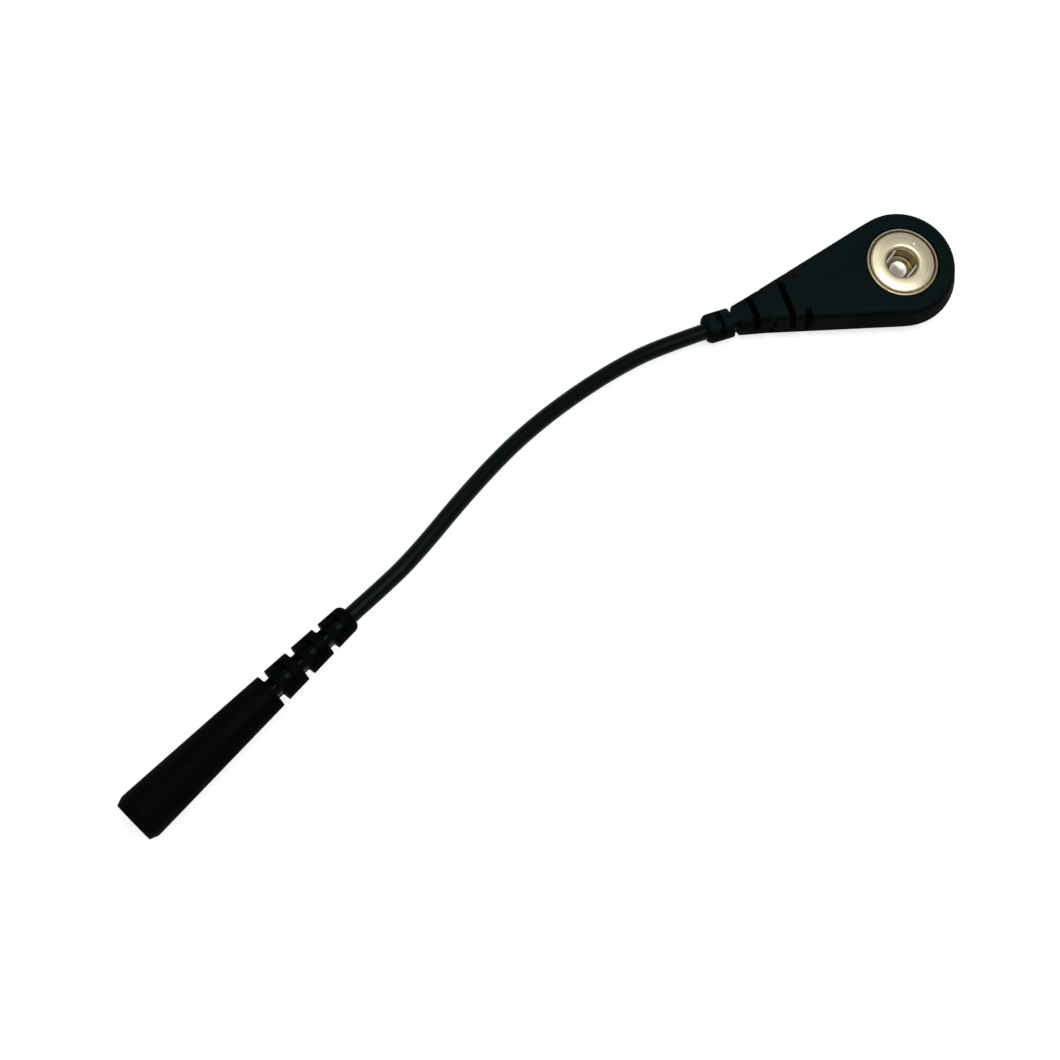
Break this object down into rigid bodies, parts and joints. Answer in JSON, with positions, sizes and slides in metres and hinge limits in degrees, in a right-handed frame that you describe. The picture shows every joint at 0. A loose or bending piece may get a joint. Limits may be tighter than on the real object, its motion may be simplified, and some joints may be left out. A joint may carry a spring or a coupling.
{
  "type": "snap-to-socket adapter lead",
  "caption": "Short black adapter lead: a press-stud socket in a flat teardrop head, a thin flexible cord and an in-line socket for a 4 mm plug.",
  "frame": {"origin": "on the flat underside of the snap head, straight below the snap's axis", "axes": "+Z out of the snap's throat; +X from the head's nose to the snap, so the cord leaves the head along -X; +Y by the right-hand rule"},
  "size_m": [0.1313, 0.0509, 0.0078],
  "materials": {
    "moulding_black": "satin soft PVC",
    "jacket_black": "smooth, slightly glossy PVC",
    "carrier_black": "matte",
    "snap_plated": "warm nickel plate, rolled smooth",
    "rivet_plated": "nickel plate, satin",
    "spring_steel": "drawn wire",
    "contact_plated": "nickel plate",
    "terminal_tinned": "tin plate, matte",
    "resistor_coat": "epoxy coat",
    "copper_bare": "bare copper strand"
  },
  "bodies": {
    "lead": {"head_overmould": "moulding_black", "inner_carrier": "carrier_black", "snap_cap": "snap_plated", "snap_base": "snap_plated", "snap_rivet": "rivet_plated", "snap_terminal": "terminal_tinned", "resistor_body": "resistor_coat", "resistor_lead_front": "terminal_tinned", "resistor_lead_rear": "terminal_tinned", "splice_ferrule": "terminal_tinned", "cord_jacket": "jacket_black", "cord_conductor": "copper_bare", "socket_overmould": "moulding_black", "mouth_bush": "carrier_black", "socket_contact": "contact_plated"},
    "spring_left": {"spring_wire_left": "spring_steel"},
    "spring_right": {"spring_wire_right": "spring_steel"}
  },
  "joints": [
    {"name": "spring_left_spread", "type": "slide", "parent": "lead", "child": "spring_left", "axis": [-0.5534, 0.8329, 0], "range_m": [0, 0.0003], "stiffness_N_per_m": 1500},
    {"name": "spring_right_spread", "type": "slide", "parent": "lead", "child": "spring_right", "axis": [0.5534, -0.8329, 0], "range_m": [0, 0.0003], "stiffness_N_per_m": 1500}
  ]
}
